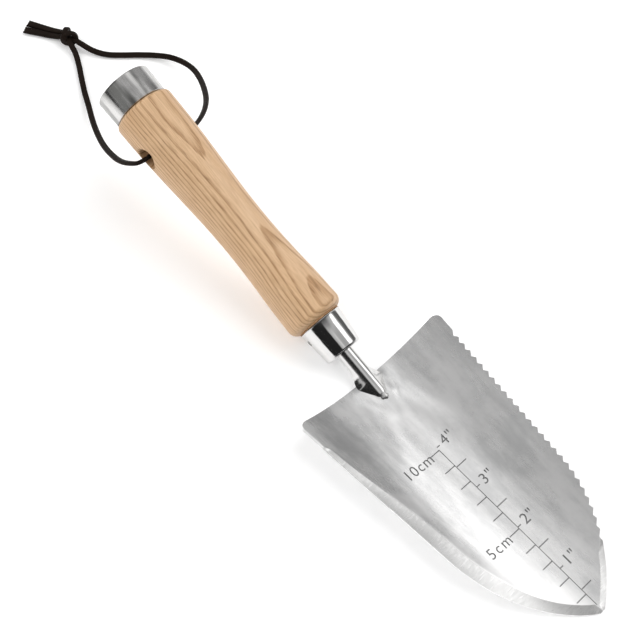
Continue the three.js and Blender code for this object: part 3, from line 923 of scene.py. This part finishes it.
class Paint:
    """One material, with short calls for the nodes that it is made of."""

    def __init__(self, name):
        self.material = bpy.data.materials.new(name)
        self.material.use_nodes = True
        self.tree = self.material.node_tree
        self.tree.nodes.clear()
        output = self.tree.nodes.new("ShaderNodeOutputMaterial")
        self.shader = self.node("BsdfPrincipled")
        self.tree.links.new(self.shader.outputs[0], output.inputs[0])
        to_tool = TOOL.inverted()
        inputs = {
            0: self.node("TexCoord").outputs["Object"],
            1: to_tool.translation,
            2: to_tool.to_euler(),
        }
        self.where = self.node("Mapping", inputs).outputs[0]

    def node(self, kind, inputs=(), **settings):
        node = self.tree.nodes.new("ShaderNode" + kind)
        for key, value in settings.items():
            setattr(node, key, value)
        for key, value in dict(inputs).items():
            self.put(node.inputs[key], value)
        return node

    def put(self, socket, value):
        if isinstance(value, bpy.types.NodeSocket):
            self.tree.links.new(value, socket)
        else:
            socket.default_value = value

    def set(self, **values):
        """Sets the shader's sockets; an underscore in a name stands for a space."""
        for key, value in values.items():
            self.put(self.shader.inputs[key.replace("_", " ")], value)

    def math(self, operation, first, second=0.0, third=0.0, clamp=False):
        inputs = {0: first, 1: second, 2: third}
        return self.node("Math", inputs, operation=operation, use_clamp=clamp).outputs[0]

    def stretched(self, scale, turn=(0, 0, 0), shift=(0, 0, 0)):
        """The tool's own coordinates, scaled per axis and turned."""
        inputs = {0: self.where, 1: shift, 2: turn, 3: scale}
        return self.node("Mapping", inputs).outputs[0]

    def from_axis(self, place):
        """The distance from the Y axis of a place that has been split into X, Y and Z."""
        across = self.math("POWER", place.outputs[0], 2.0)
        down = self.math("POWER", place.outputs[2], 2.0)
        return self.math("SQRT", self.math("ADD", across, down))

    def noise(self, where, scale=1.0, detail=2.0, rough=0.5, distortion=0.0):
        inputs = {
            "Vector": where, "Scale": scale, "Detail": detail,
            "Roughness": rough, "Distortion": distortion,
        }
        return self.node("TexNoise", inputs).outputs[0]

    def grain(self, scale, turn=(0, 0, 0), **settings):
        """Noise that is stretched per axis."""
        return self.noise(self.stretched(scale, turn), **settings)

    def spread(self, value, low, high, to_low=0.0, to_high=1.0):
        """Maps a range of values to another, smoothly and held at its ends."""
        inputs = {0: value, 1: low, 2: high, 3: to_low, 4: to_high}
        return self.node("MapRange", inputs, interpolation_type="SMOOTHSTEP").outputs[0]

    def blend(self, share, first, second):
        node = self.node("Mix", {0: share}, data_type="RGBA")
        self.put(node.inputs[6], first)
        self.put(node.inputs[7], second)
        return node.outputs[2]

    def bump(self, height, distance, strength=1.0, below=None):
        inputs = {"Height": height, "Distance": distance, "Strength": strength}
        if below is not None:
            inputs["Normal"] = below
        return self.node("Bump", inputs).outputs[0]


def ash_wood():
    """Pale ash: growth rings about a pith outside the handle, and fine open pores."""
    paint = Paint("ash_wood")
    sway = paint.grain((34, 8, 34), detail=2)
    ripple = paint.grain((260, 26, 260), detail=3)
    place = paint.node("SeparateXYZ", {0: paint.stretched((1, 1, 1), PITH_TILT, PITH_SHIFT)})
    bent = paint.math("MULTIPLY_ADD", sway, 0.0050, paint.from_axis(place))
    bent = paint.math("MULTIPLY_ADD", ripple, 0.0008, bent)
    ring = paint.math("FRACT", paint.math("DIVIDE", bent, RING_SPACING))
    early = paint.math(
        "MULTIPLY", paint.spread(ring, 0.0, 0.07), paint.spread(ring, 0.50, 0.08)
    )
    fibre = paint.grain((1900, 45, 1900), detail=4, rough=0.7)
    pores = paint.grain((2300, 110, 2300), detail=2)
    pore = paint.math(
        "MULTIPLY", paint.spread(pores, 0.52, 0.66), paint.spread(early, 0.0, 1.0, 0.22, 1.0)
    )
    cloud = paint.grain((60, 16, 60), detail=3)
    late_colour = paint.blend(cloud, (0.64, 0.400, 0.212, 1), (0.77, 0.545, 0.345, 1))
    early_share = paint.math("MULTIPLY", early, paint.spread(fibre, 0.28, 0.70, 0.40, 1.0))
    colour = paint.blend(early_share, late_colour, (0.370, 0.195, 0.082, 1))
    pore_share = paint.math("MULTIPLY", pore, 0.75)
    colour = paint.blend(pore_share, colour, (0.215, 0.104, 0.042, 1))
    streak = paint.spread(fibre, 0.36, 0.66, 0.0, 0.42)
    colour = paint.blend(streak, colour, (0.420, 0.240, 0.115, 1))
    hollow = paint.math("SUBTRACT", paint.math("MULTIPLY", fibre, 0.4), pore)
    paint.set(
        Base_Color=colour,
        Roughness=paint.spread(early, 0.0, 1.0, 0.40, 0.54),
        Normal=paint.bump(hollow, 0.00012, 0.5),
        Specular_IOR_Level=0.45,
    )
    return paint.material


def turned_cap_steel():
    """Steel finished on the lathe: very fine rings round the axis and faint scuffs."""
    paint = Paint("brushed_cap_steel")
    place = paint.node("SeparateXYZ", {0: paint.where})
    travel = paint.math("ADD", paint.from_axis(place), place.outputs[1])
    lathe_path = paint.node("CombineXYZ", {0: travel}).outputs[0]
    rings = paint.noise(lathe_path, scale=2600, detail=2, rough=0.6)
    scuffs = paint.grain((240, 90, 240), turn=(0, 0, 0.5), detail=3)
    streaks = paint.grain((150, 9, 150), detail=4, rough=0.6)
    on_side = paint.spread(place.outputs[1], 0.0002, 0.0010)
    streaks = paint.math("MULTIPLY", on_side, paint.math("SUBTRACT", streaks, 0.5))
    plain = paint.math("MULTIPLY_ADD", scuffs, 0.3, 0.35)
    tone = paint.math("MULTIPLY_ADD", streaks, 0.7, plain)
    rough = paint.spread(scuffs, 0.35, 0.75, 0.13, 0.22)
    paint.set(
        Base_Color=paint.blend(
            paint.spread(tone, 0.38, 0.62), (0.27, 0.27, 0.26, 1), (0.72, 0.71, 0.70, 1)
        ),
        Metallic=1.0,
        Roughness=paint.math("MULTIPLY_ADD", rings, 0.06, rough),
        Normal=paint.bump(rings, 0.000012, 0.30),
    )
    return paint.material


def polished_steel(name, roughness):
    """Chromed steel: a near mirror with a trace of handling marks."""
    paint = Paint(name)
    ripple = paint.grain((130, 130, 130), detail=2)
    smudge = paint.grain((420, 60, 420), detail=4, rough=0.65)
    lines = paint.grain((1900, 40, 1900), detail=3)
    low = paint.bump(ripple, 0.0004, 0.10)
    paint.set(
        Base_Color=paint.blend(smudge, (0.60, 0.60, 0.595, 1), (0.82, 0.81, 0.80, 1)),
        Metallic=1.0,
        Roughness=paint.spread(smudge, 0.35, 0.75, roughness, roughness + 0.09),
        Normal=paint.bump(lines, 0.000025, 0.35, below=low),
    )
    return paint.material


def blade_steel():
    """Satin sheet steel: fine brushing, cloudy polish and soft dents."""
    paint = Paint("satin_blade_steel")
    brushing = paint.grain((1900, 70, 700), turn=(0, 0, 0.30), detail=4, rough=0.65)
    streaks = paint.grain((230, 24, 150), turn=(0, 0, 0.22), detail=3)
    cloud = paint.grain((48, 30, 48), detail=4, rough=0.6)
    mottle = paint.grain((260, 180, 260), detail=4, rough=0.7)
    dents = paint.grain((30, 16, 30), detail=1)
    tone = paint.math("MULTIPLY_ADD", mottle, 0.18, paint.math("MULTIPLY", cloud, 0.42))
    tone = paint.math("MULTIPLY_ADD", streaks, 0.40, tone)
    rough = paint.spread(cloud, 0.30, 0.70, 0.18, 0.27)
    low = paint.bump(dents, 0.0020, 0.18)
    low = paint.bump(streaks, 0.00012, 0.18, below=low)
    paint.set(
        Base_Color=paint.blend(
            paint.spread(tone, 0.38, 0.62), (0.70, 0.70, 0.70, 1), (0.90, 0.895, 0.89, 1)
        ),
        Metallic=1.0,
        Roughness=paint.math("MULTIPLY_ADD", brushing, 0.08, rough),
        Normal=paint.bump(brushing, 0.000022, 0.30, below=low),
    )
    return paint.material


def ground_edge_steel():
    """The bevels, straight off the grinding belt: coarse lines across the edge."""
    paint = Paint("ground_edge_steel")
    belt = paint.grain((260, 2600, 700), turn=(0, 0, 0.25), detail=3)
    cloud = paint.grain((90, 60, 90), detail=3)
    paint.set(
        Base_Color=paint.blend(cloud, (0.58, 0.58, 0.575, 1), (0.76, 0.755, 0.75, 1)),
        Metallic=1.0,
        Roughness=paint.spread(belt, 0.3, 0.7, 0.26, 0.38),
        Normal=paint.bump(belt, 0.00004, 0.4),
    )
    return paint.material


def engraved_steel_painted_shade():
    """The pressed marks: duller than the sheet around them, and darker, because their dark base
    colour is painted shade in the grooves.
    """
    paint = Paint("engraved_steel_painted_shade")
    grit = paint.grain((2600, 2600, 2600), detail=3)
    paint.set(
        # The dark grey base colour is painted shade, standing in for the shade inside the narrow
        # grooves.
        Base_Color=paint.blend(grit, (0.17, 0.17, 0.17, 1), (0.34, 0.34, 0.34, 1)),
        Metallic=0.8,
        Roughness=paint.spread(grit, 0.3, 0.7, 0.45, 0.6),
        Normal=paint.bump(grit, 0.00003, 0.4),
    )
    return paint.material


def dark_leather():
    """Brown-black lace leather: pebbled grain, faint creases, and lighter worn patches along the
    creases.
    """
    paint = Paint("dark_leather")
    pebbles = paint.node(
        "TexVoronoi", {"Vector": paint.where, "Scale": 2100.0}, feature="SMOOTH_F1"
    ).outputs[0]
    creases = paint.grain((900, 900, 900), detail=4, rough=0.65)
    tone = paint.grain((160, 160, 160), detail=3)
    colour = paint.blend(tone, (0.006, 0.0042, 0.003, 1), (0.019, 0.012, 0.009, 1))
    worn = paint.math("MULTIPLY", paint.spread(creases, 0.58, 0.75), 0.5)
    colour = paint.blend(worn, colour, (0.045, 0.029, 0.021, 1))
    height = paint.math("MULTIPLY_ADD", creases, 0.8, pebbles)
    paint.set(
        Base_Color=colour,
        Roughness=paint.spread(creases, 0.3, 0.7, 0.48, 0.66),
        Normal=paint.bump(height, 0.00018, 0.5),
        Specular_IOR_Level=0.08,
    )
    return paint.material


# ---- the whole object

wood = ash_wood()
cap_steel = turned_cap_steel()
mirror_steel = polished_steel("polished_steel", 0.06)
neck_steel = polished_steel("neck_steel", 0.14)
weld_steel = polished_steel("weld_steel", 0.34)
satin_steel = blade_steel()
leather = dark_leather()

blade = make_blade()
blade.data.materials.append(satin_steel)
blade.data.materials.append(engraved_steel_painted_shade())
engrave(blade)
blade.data.materials.append(ground_edge_steel())
face_ground_edges(blade)

for piece, material, body, slot, node in (
    (make_handle(), wood, "trowel", "ash_wood", "handle"),
    (make_cap(), cap_steel, "trowel", "brushed_cap_steel", "butt_cap"),
    (make_ferrule(), mirror_steel, "trowel", "polished_steel", "ferrule"),
    (make_pin(), mirror_steel, "trowel", "polished_steel", "ferrule_pin"),
    (make_neck(), neck_steel, "trowel", "polished_steel", "neck_and_tang"),
    (make_nose_bead(), weld_steel, "trowel", "polished_steel", "neck_weld"),
    (blade, satin_steel, "trowel", "satin_blade_steel", "blade"),
    (lace, leather, "thong", "dark_leather", "thong_loop"),
    (knot, leather, "thong", "dark_leather", "thong_knot"),
    (tails[0], leather, "thong", "dark_leather", "thong_tail_right"),
    (tails[1], leather, "thong", "dark_leather", "thong_tail_left"),
):
    if not piece.data.materials:
        piece.data.materials.append(material)
    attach(piece, body)
    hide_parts(node)


# ---- floor and lights

def make_floor():
    """A plain pale floor, a hair below the object; its own glow softens the shadows."""
    size = 2.5
    mesh = bpy.data.meshes.new("floor")
    mesh.from_pydata(
        [(-size, -size, 0), (size, -size, 0), (size, size, 0), (-size, size, 0)],
        [], [(0, 1, 2, 3)],
    )
    floor = bpy.data.objects.new("floor", mesh)
    floor.location.z = -0.0002
    bpy.context.scene.collection.objects.link(floor)
    paint = Paint("studio_floor")
    cloud = paint.grain((3, 3, 3), detail=2)
    paint.set(
        Base_Color=paint.blend(cloud, (0.955, 0.955, 0.955, 1), (0.97, 0.97, 0.97, 1)),
        Roughness=0.9,
        Specular_IOR_Level=0.1,
        Emission_Color=(1, 1, 1, 1),
        Emission_Strength=0.20,
    )
    floor.data.materials.append(paint.material)


def aim_light(name, data, place, aim, mirrored):
    """A light that isn't mirrored only lights, and the metal doesn't show it."""
    light = bpy.data.objects.new(name, data)
    bpy.context.scene.collection.objects.link(light)
    light.location = place
    light.rotation_euler = (Vector(aim) - Vector(place)).to_track_quat("-Z", "Y").to_euler()
    light.visible_glossy = mirrored


def make_soft_box(name, place, aim, width, height, power):
    data = bpy.data.lights.new(name, "AREA")
    data.shape = "RECTANGLE"
    data.size = width
    data.size_y = height
    data.energy = power
    aim_light(name, data, place, aim, mirrored=True)


def make_sky_panel(name, place, strength, spread_degrees):
    """A light so far away that it lights the whole floor evenly."""
    data = bpy.data.lights.new(name, "SUN")
    data.energy = strength
    data.angle = math.radians(spread_degrees)
    aim_light(name, data, place, (0, 0, 0), mirrored=False)


class Studio:
    """The world's nodes: a pale room with soft boxes and dark cards, set out by angle.

    An angle is measured from straight up towards +X, in degrees. A slant is the part of
    the direction along +Y, from -1 to 1.
    """

    def __init__(self):
        world = bpy.data.worlds.new("studio")
        bpy.context.scene.world = world
        world.use_nodes = True
        self.tree = world.node_tree
        self.background = self.tree.nodes["Background"]
        self.background.inputs["Color"].default_value = (1, 1, 1, 1)
        direction = self.node("ShaderNodeTexCoord").outputs["Generated"]
        split = self.node("ShaderNodeSeparateXYZ", direction)
        turn = self.math("ARCTAN2", split.outputs[0], split.outputs[2])
        self.angle = self.math("DEGREES", turn, 0)
        self.slant = split.outputs[1]
        self.tone = 0.62

    def node(self, kind, *inputs):
        node = self.tree.nodes.new(kind)
        for socket, value in zip(node.inputs, inputs):
            if isinstance(value, bpy.types.NodeSocket):
                self.tree.links.new(value, socket)
            else:
                socket.default_value = value
        return node

    def math(self, operation, *inputs):
        node = self.node("ShaderNodeMath", *inputs)
        node.operation = operation
        return node.outputs[0]

    def rise(self, value, low, high):
        node = self.node("ShaderNodeMapRange", value, low, high)
        node.interpolation_type = "SMOOTHSTEP"
        return node.outputs[0]

    def card(self, tone, angles, slants, soft_angle=8.0, soft_slant=0.08):
        """Lays a card or soft box of one brightness over what is there already."""
        share = 1.0
        for value, (low, high), soft in (
            (self.angle, angles, soft_angle), (self.slant, slants, soft_slant),
        ):
            inside = self.math(
                "MULTIPLY",
                self.rise(value, low - soft / 2, low + soft / 2),
                self.rise(value, high + soft / 2, high - soft / 2),
            )
            share = self.math("MULTIPLY", share, inside)
        change = self.math("SUBTRACT", tone, self.tone)
        self.tone = self.math("MULTIPLY_ADD", share, change, self.tone)

    def finish(self, seen_tone):
        """The camera sees a plain pale wall instead."""
        seen = self.node("ShaderNodeLightPath").outputs["Is Camera Ray"]
        change = self.math("SUBTRACT", seen_tone, self.tone)
        tone = self.math("MULTIPLY_ADD", seen, change, self.tone)
        self.tree.links.new(tone, self.background.inputs["Strength"])


make_floor()
make_soft_box("soft_box", (-0.85, 0.36, 0.88), (0, 0.36, 0.03), 1.05, 0.52, 2.2)
make_sky_panel("key", (-0.80, 0.25, 1.10), strength=1.3, spread_degrees=60)
make_sky_panel("fill", (0.95, -0.3, 0.80), strength=1.6, spread_degrees=60)

studio = Studio()
studio.card(0.48, (-28, 2), (0.08, 0.60))
studio.card(0.80, (2, 12), (-0.10, 0.60))
studio.card(1.05, (-36, -8), (-0.36, -0.05))
studio.card(0.14, (-110, -64), (0.02, 0.60))
studio.card(0.42, (-4, 14), (-0.30, -0.07), soft_angle=10)
studio.card(0.32, (0, 26), (-0.075, 0.03), soft_angle=10)
studio.card(0.32, (-84, -30), (-1.00, -0.03), soft_angle=14)
studio.card(0.10, (80, 98), (-0.60, -0.15))
studio.card(0.02, (24, 96), (-0.04, 0.80), soft_slant=0.06)
studio.card(0.03, (24, 96), (-1.10, -0.31))
studio.card(0.05, (-180, 180), (0.66, 1.20), soft_slant=0.10)
studio.finish(seen_tone=1.0)
bpy.context.scene.view_settings.view_transform = "Standard"
